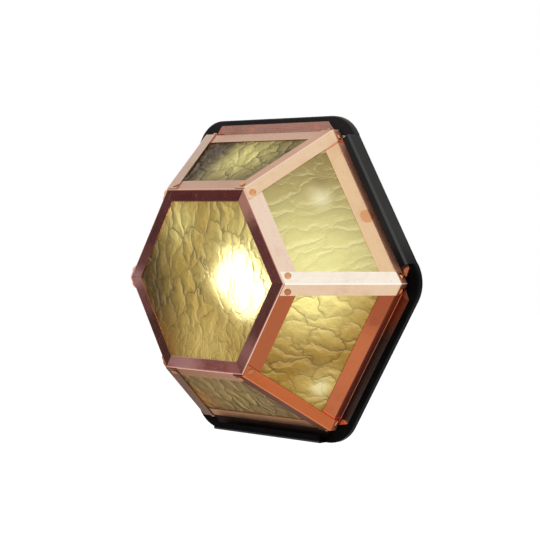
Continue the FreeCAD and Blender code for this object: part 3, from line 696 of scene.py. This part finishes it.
for side in sides:
    dress(f"side_glass_{side + 1}", amber_glass(f"side glass {side + 1}", pane_normals[side], slopes[side],
                                                side_runs[side], seed_step * side, pane_looks[side]))
print("side panes dressed:", len(pane_looks))

# %% [markdown]
# The plate and its two channels are steel under a black powder coat, which is never quite smooth: fine
# grains melt together and leave a skin like orange peel. Faces that look upwards, but not backwards, are
# painted a little grey, more the higher they lie: a painted sheen of the light from above. The channels'
# outer folds get a painted highlight, a grey line as if rubbed through, which a plane near their farthest
# reach picks out.

# %% Dress the plate and its channels
peel_scale = 900.0
dust_and_sheen_scale = 60.0
painted_sheen_tone = rgb(66, 65, 64)
grey_fold_highlight = rgb(88, 88, 88)


def powder_coat(name, folds=()):
    finish = Finish(name)
    place = finish.place()
    peel = finish.noise(place, peel_scale, 2.0)
    dust_and_sheen = finish.noise(place, dust_and_sheen_scale, 5.0, 0.6)
    colour = finish.mix(dust_and_sheen.step(0.45, 0.8), rgb(7, 7, 7), rgb(15, 15, 15))
    facing = finish.add("ShaderNodeNewGeometry", output="Normal")
    upward = (facing.along((0, 0, 1)) * 0.6 + 0.42).math("MAXIMUM", 0.0)
    not_back = facing.along((0, 1, 0)).step(0.6, 0.1)
    # Painted sheen: faces that look upwards turn grey, more the higher they lie.
    painted_sheen = upward * place.along((0, 0, 1)).step(0.006, 0.045) * not_back
    colour = finish.mix(painted_sheen * (dust_and_sheen * 0.6 + 0.7), colour, painted_sheen_tone)
    for direction, reach in folds:
        # Painted highlight along the channels' outer folds.
        grey_fold_mask = place.along(direction).step(reach - 0.0007, reach - 0.0003)
        colour = finish.mix(grey_fold_mask * 0.7, colour, grey_fold_highlight)
    return finish.surface(Base_Color=colour, Roughness=dust_and_sheen * 0.12 + 0.28, IOR=1.10,
                          Normal=finish.bump(peel, 0.10, 0.0004))


dress("base_plate", powder_coat("black powder coat"))
for node, side in zip(("channel_upper_right", "channel_bottom"), channel_sides):
    fold_direction = (axis_out + outward(side)).normalized()
    fold_reach = max(vertex.co.dot(fold_direction) for vertex in nodes[node].data.vertices)
    dress(node, powder_coat(f"black powder coat {node}", [(fold_direction, fold_reach)]))
    print(node, "folds at", round(fold_reach, 4))

# %% [markdown]
# The pieces inside are zinc plated steel, white porcelain, brass, rubber and moulded plastic. They are
# seen only from behind or through the glass, so one function serves them all: noise wanders between two
# near colours and takes roughness and a faint bump along with it.


# %% Dress the pieces inside
def plain_finish(name, colour, other, metallic, roughness, grain=220.0):
    finish = Finish(name)
    patch = finish.noise(finish.place(), grain, 4.0, 0.6)
    return finish.surface(Base_Color=finish.mix(patch.step(0.35, 0.7), colour, other), Metallic=metallic,
                          Roughness=patch * 0.2 + (roughness - 0.1), Normal=finish.bump(patch, 0.05, 0.0005))


plated_steel = plain_finish("plated steel", rgb(196, 196, 192), rgb(170, 172, 168), 1.0, 0.35)
brass = plain_finish("brass", rgb(214, 178, 104), rgb(190, 150, 84), 1.0, 0.3)
porcelain = plain_finish("porcelain", rgb(236, 233, 224), rgb(226, 222, 212), 0.0, 0.2)
rubber = plain_finish("rubber", rgb(34, 34, 34), rgb(46, 46, 46), 0.0, 0.6)
plastic = plain_finish("moulded plastic", rgb(228, 226, 218), rgb(214, 212, 204), 0.0, 0.45)
inside = {"lamp_bracket": plated_steel, "bracket_screws": plated_steel, "lampholder_screws": plated_steel,
          "earth_screw": plated_steel, "lampholder_shell": brass, "lampholder_contact": brass,
          "terminal_screws": brass, "lampholder_body": porcelain, "cable_grommet": rubber,
          "terminal_block": plastic}
for node, material in inside.items():
    dress(node, material)
print("pieces inside dressed:", len(inside))

# %% [markdown]
# The rivets that pin the corner strips were set with a hammer and a cupped punch, so each has a low
# button head with a thin collar. Where they sit is measured on the solids: the faces of a plain head lie
# close together, and its flat underside gives the middle of the seat and the direction that the head
# faces.

# %% Seats of the rivets
head_spread = 0.0075
same_way = 0.999


def head_groups(mesh):
    """Faces of a mesh, sorted by the head that they belong to."""
    groups = []
    for face in mesh.polygons:
        near = [group for group in groups if (group[0].center - face.center).length < head_spread]
        if near:
            near[0].append(face)
        else:
            groups.append([face])
    return groups


def rivet_seats(node):
    """Middle of each head's underside and the direction it faces."""
    seats = []
    for group in head_groups(nodes[node].data):
        flat = max(group, key=lambda face: sum(other.area for other in group
                                               if other.normal.dot(face.normal) > same_way))
        under = [face for face in group if face.normal.dot(flat.normal) > same_way]
        weight = sum(face.area for face in under)
        middle = sum((face.center * face.area for face in under), Vector()) / weight
        seats.append((middle, -flat.normal))
    return seats


front_seats = rivet_seats("front_rivets")
base_seats = rivet_seats("base_rivets")
print("rivet seats:", len(front_seats), len(base_seats))

# %% [markdown]
# One head is modelled. A disc is drawn up for the collar, then inset and raised three times for the
# button, and its top is inset twice more and sunk a little, as the punch leaves it. A Subdivision Surface
# rounds it off. A turned profile would do as well, but the insets show each ring where it arises.

# %% Model one rivet head
head_radius = 0.0031
collar_height = 0.0005
head_rings = [(0.00035, 0.0001), (0.00045, 0.0005), (0.0007, 0.0004), (0.0004, -0.0001), (0.0004, -0.0002)]


def make_rivet():
    bpy.ops.object.select_all(action="DESELECT")
    bpy.ops.mesh.primitive_circle_add(vertices=20, radius=head_radius, fill_type="NGON", location=(0, 0, 0))
    rivet = bpy.context.object
    bpy.ops.object.mode_set(mode="EDIT")
    bpy.ops.mesh.select_all(action="SELECT")
    bpy.ops.mesh.extrude_region_move(TRANSFORM_OT_translate={"value": (0, 0, collar_height)})
    for inset, rise in head_rings:
        bpy.ops.mesh.inset(thickness=inset, depth=0)
        bpy.ops.transform.translate(value=(0, 0, rise))
    bpy.ops.mesh.select_all(action="SELECT")
    bpy.ops.mesh.normals_make_consistent(inside=False)
    bpy.ops.object.mode_set(mode="OBJECT")
    rounding = rivet.modifiers.new("rounding", "SUBSURF")
    rounding.levels = 1
    rounding.render_levels = 1
    bpy.ops.object.modifier_apply(modifier=rounding.name)
    bpy.ops.object.shade_smooth_by_angle(angle=math.radians(50))
    return rivet


rivet = make_rivet()
print("rivet head faces:", len(rivet.data.polygons))

# %% [markdown]
# A copy of the head goes to every seat, each with a mesh of its own that is moved and turned there. The
# heads of one row are joined, so that a row is one piece, as it is in the solids that it replaces.


# %% Set the rivets
def set_copy(name, pattern, seat):
    """A copy with its own mesh, moved by a matrix."""
    copy = bpy.data.objects.new(name, pattern.data.copy())
    copy.data.transform(seat)
    bpy.context.scene.collection.objects.link(copy)
    return copy


def join_copies(name, copies):
    bpy.ops.object.select_all(action="DESELECT")
    for copy in copies:
        copy.select_set(True)
    bpy.context.view_layer.objects.active = copies[0]
    bpy.ops.object.join()
    piece = bpy.context.object
    piece.name = name
    return piece


def set_rivets(name, pattern, seats, node):
    copies = []
    for middle, direction in seats:
        turn = direction.to_track_quat("Z", "Y").to_matrix().to_4x4()
        copies.append(set_copy(name, pattern, Matrix.Translation(middle) @ turn))
    heads = join_copies(name, copies)
    heads.data.materials.append(rivet_copper)
    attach(heads, "lantern")
    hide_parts(node)
    print(name, "faces:", len(heads.data.polygons))


set_rivets("front_rivet_heads", rivet, front_seats, "front_rivets")
set_rivets("base_rivet_heads", rivet, base_seats, "base_rivets")
bpy.data.objects.remove(rivet)

# %% [markdown]
# The mitres of the front frame are closed with solder, which is drawn into the joint from behind and
# wiped off just under the face. Without it the lit glass would shine through the gap. One seam is
# modelled: a bar as long as the mitre, bevelled all round. Copies are turned about the light's axis to
# the six corners.

# %% Solder the mitres of the front frame
corner_step = 60
mitre_stretch = 1 / math.cos(math.radians(corner_step / 2))
seam_inner = strip_inner * mitre_stretch + 0.0002
seam_outer = front_apothem * mitre_stretch - 0.0002
seam_width = 0.00034
seam_front = -front_face + 0.0001
seam_back = -front_face + 0.0009
seam_bevel = 0.00005


def make_seam():
    bpy.ops.object.select_all(action="DESELECT")
    middle = ((seam_inner + seam_outer) / 2, (seam_front + seam_back) / 2, 0)
    bpy.ops.mesh.primitive_cube_add(size=1, location=middle)
    seam = bpy.context.object
    seam.scale = (seam_outer - seam_inner, seam_back - seam_front, seam_width)
    bpy.ops.object.transform_apply(location=True, rotation=True, scale=True)
    bpy.ops.object.mode_set(mode="EDIT")
    bpy.ops.mesh.select_all(action="SELECT")
    bpy.ops.mesh.bevel(offset=seam_bevel, segments=2)
    bpy.ops.object.mode_set(mode="OBJECT")
    return seam


seam = make_seam()
turns = [Matrix.Rotation(math.radians(corner_step * corner), 4, "Y") for corner in sides]
mitre_solder = join_copies("mitre_solder", [set_copy("mitre_solder", seam, turn) for turn in turns])
bpy.data.objects.remove(seam)
mitre_solder.data.materials.append(copper("solder", rgb(124, 76, 70), (1, 0, 0)))
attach(mitre_solder, "lantern")
print("mitre seams from", round(seam_inner, 4), "to", round(seam_outer, 4))

# %% [markdown]
# The lamp is a frosted globe bulb with a screw cap, which hangs with its cap upwards in the lampholder. A
# sphere is the start. Its top is cut off level, and the open edge is drawn up through the neck and over
# the turns of the thread, ring after ring, to the contact at the end of the cap. Each ring is a radius
# and a height.

# %% Model the bulb
globe_middle = Vector((0, -0.046, -0.007))
globe_radius = 0.0299
globe_cut = 0.0270
thread_start = 0.0410
thread_pitch = 0.0036
neck_rings = [(0.0195, 0.0262), (0.0150, 0.0320), (0.0134, 0.0370), (0.0125, 0.0384), (0.0129, 0.0392)]
cap_rings = [(0.0129 if step % 2 else 0.0121, thread_start + step * thread_pitch / 2) for step in range(11)]
tip_rings = [(0.0115, 0.0612), (0.0085, 0.0632), (0.0050, 0.0640), (0.0046, 0.0660), (0.0020, 0.0668)]


def draw_up(rings, radius, height):
    """Extrude the selected edge ring through other rings, and close the last one."""
    for next_radius, place in rings:
        next_height = place - globe_middle.z
        bpy.ops.mesh.extrude_region_move(TRANSFORM_OT_translate={"value": (0, 0, next_height - height)})
        share = next_radius / radius
        bpy.ops.transform.resize(value=(share, share, 1), center_override=(0, 0, next_height))
        radius = next_radius
        height = next_height
    bpy.ops.mesh.edge_face_add()


def make_bulb():
    bpy.ops.object.select_all(action="DESELECT")
    bpy.ops.mesh.primitive_uv_sphere_add(segments=48, ring_count=32, radius=globe_radius, location=(0, 0, 0))
    bulb = bpy.context.object
    bulb.name = "globe_bulb"
    bpy.ops.object.mode_set(mode="EDIT")
    bpy.ops.mesh.select_all(action="SELECT")
    bpy.ops.mesh.bisect(plane_co=(0, 0, globe_cut), plane_no=(0, 0, 1), clear_outer=True)
    bpy.ops.mesh.select_all(action="DESELECT")
    bpy.ops.mesh.select_mode(type="EDGE")
    bpy.ops.mesh.select_non_manifold()
    cut_radius = math.sqrt(globe_radius ** 2 - globe_cut ** 2)
    draw_up(neck_rings + cap_rings + tip_rings, cut_radius, globe_cut)
    bpy.ops.mesh.select_mode(type="FACE")
    bpy.ops.mesh.select_all(action="SELECT")
    bpy.ops.mesh.normals_make_consistent(inside=False)
    bpy.ops.transform.translate(value=globe_middle)
    bpy.ops.object.mode_set(mode="OBJECT")
    bpy.ops.object.shade_smooth_by_angle(angle=math.radians(40))
    return bulb


bulb = make_bulb()
heights = [vertex.co.z for vertex in bulb.data.vertices]
print("bulb spans", round(min(heights), 4), "to", round(max(heights), 4))

# %% [markdown]
# The frosted glass gives off the light and the cap is plated metal, so the bulb has two materials, chosen
# face by face. The lit coil inside shows as a slanting band across the globe, and the neck above it stays
# dim.

# %% Light the bulb
cap_start = 0.0387
band_across = (0.556, 0.488, 0.67)
band_offset = 0.0270
bulb_strength = 22.0
bulb_finish = Finish("lit bulb")
bulb_place = bulb_finish.place()
frost = bulb_finish.noise(bulb_place, 300.0, 3.0)
lit_band = (bulb_place.along(band_across) + band_offset).math("ABSOLUTE")
lit_part = bulb_place.along((0, 0, 1)).step(0.036, 0.020) * lit_band.step(0.025, 0.013)
bulb_light = bulb_finish.mix(frost, rgb(255, 238, 196), rgb(255, 246, 220))
bulb_finish.surface(Base_Color=rgb(250, 246, 236), Roughness=0.6, Emission_Strength=bulb_strength,
                    Emission_Color=bulb_finish.mix(lit_part, rgb(60, 54, 44), bulb_light))
bulb.data.materials.append(bulb_finish.material)
bulb.data.materials.append(plated_steel)
for face in bulb.data.polygons:
    face.material_index = 1 if face.center.z > cap_start else 0
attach(bulb, "base")
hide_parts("bulb")
print("cap faces:", sum(face.material_index for face in bulb.data.polygons))

# %% [markdown]
# The light hangs free in a white studio. Rays from the camera, from mirror-like metal and through glass
# meet a pure white world, so that copper and glass show the background too, while a softer grey one
# lights the piece. Light Path tells the rays apart.

# %% White studio
soft_level = 0.50


class Studio(Finish):
    """The world's tree of nodes, which takes the same expressions as a material's."""

    def __init__(self, name):
        self.world = bpy.data.worlds.new(name)
        self.world.use_nodes = True
        self.tree = self.world.node_tree


def seen_rays(finish):
    """1 for rays from the camera, off a mirror or through glass, and 0 for the rest."""
    seen = finish.add("ShaderNodeLightPath", output="Is Camera Ray")
    rays = seen.socket.node.outputs
    for kind in ("Is Glossy Ray", "Is Transmission Ray"):
        seen = seen.math("MAXIMUM", Value(finish, rays[kind]))
    return seen


studio = Studio("studio")
soft = studio.add("ShaderNodeBackground", {}, {"Color": (1, 1, 1, 1), "Strength": soft_level})
white = studio.add("ShaderNodeBackground", {}, {"Color": (1, 1, 1, 1), "Strength": 1.0})
background = studio.add("ShaderNodeMixShader", {}, {0: seen_rays(studio), 1: soft, 2: white})
studio.feed(studio.tree.nodes["World Output"].inputs["Surface"], background)
studio.tree.nodes.remove(studio.tree.nodes["Background"])
bpy.context.scene.world = studio.world
print("studio nodes:", len(studio.tree.nodes))

# %% [markdown]
# The pale floor lies well below the light, since that hangs free. Two flat boards, which the camera
# doesn't see, are there for the copper to mirror. A dim flag at the left front darkens what the front
# frame shows, as the dark side of a real studio does. A warm card low at the left behind gives the
# undersides a warm tone. A plain plane is enough for each, because none of them belongs to the light.


# %% Floor, flag and card
def stage_plane(name, size, location, normal, material):
    bpy.ops.object.select_all(action="DESELECT")
    bpy.ops.mesh.primitive_plane_add(size=size, location=location)
    plane = bpy.context.object
    plane.name = name
    plane.rotation_euler = Vector(normal).to_track_quat("Z", "Y").to_euler()
    plane.data.materials.append(material)
    return plane


def board_finish(name, colour, strength):
    """A board that shows one even tone, whatever light falls on it."""
    return Finish(name).surface(Base_Color=(0, 0, 0, 1), Emission_Color=colour, Emission_Strength=strength)


floor_size = 14.0
floor_level = -0.55
floor_finish = Finish("pale floor")
floor_glow = floor_finish.mix(seen_rays(floor_finish), (0, 0, 0, 1), (1, 1, 1, 1))
floor_finish.surface(Base_Color=(0.80, 0.80, 0.80, 1), Roughness=0.9, Emission_Strength=0.62,
                     Emission_Color=floor_glow)
floor = stage_plane("floor", floor_size, (0, 0, floor_level), (0, 0, 1), floor_finish.material)
flag = stage_plane("flag", 1.0, (-0.95, -1.08, -0.045), (0.66, 0.75, 0.0),
                   board_finish("dim flag", (1, 1, 1, 1), 0.20))
flag.scale = (1.6, 0.48, 1.0)
flag.visible_camera = False
card = stage_plane("card", 0.8, (-0.50, 0.27, -0.50), (0.66, -0.35, 0.66),
                   board_finish("warm card", (1.0, 0.78, 0.58, 1), 0.38))
card.visible_camera = False
card.visible_shadow = False
card.visible_diffuse = False
print("stage:", [plane.name for plane in (floor, flag, card)])

# %% [markdown]
# Two soft boxes give the piece its form: a key from the right front and a fill from above. Polished
# copper would show a lamp as a burnt-out white patch, so they are left out of what it mirrors.


# %% Soft boxes
def soft_box(name, location, target, size, energy):
    light = bpy.data.lights.new(name, "AREA")
    light.size = size
    light.energy = energy
    holder = bpy.data.objects.new(name, light)
    holder.location = location
    holder.rotation_euler = (Vector(target) - Vector(location)).to_track_quat("-Z", "Y").to_euler()
    holder.visible_glossy = False
    bpy.context.scene.collection.objects.link(holder)
    print(name, "lamp:", energy, "W")


soft_box("key", (2.0, -1.5, 0.4), (0, 0, 0), 1.2, 16.0)
soft_box("fill", (-0.8, -0.5, 2.0), (0, 0, 0), 1.6, 9.0)
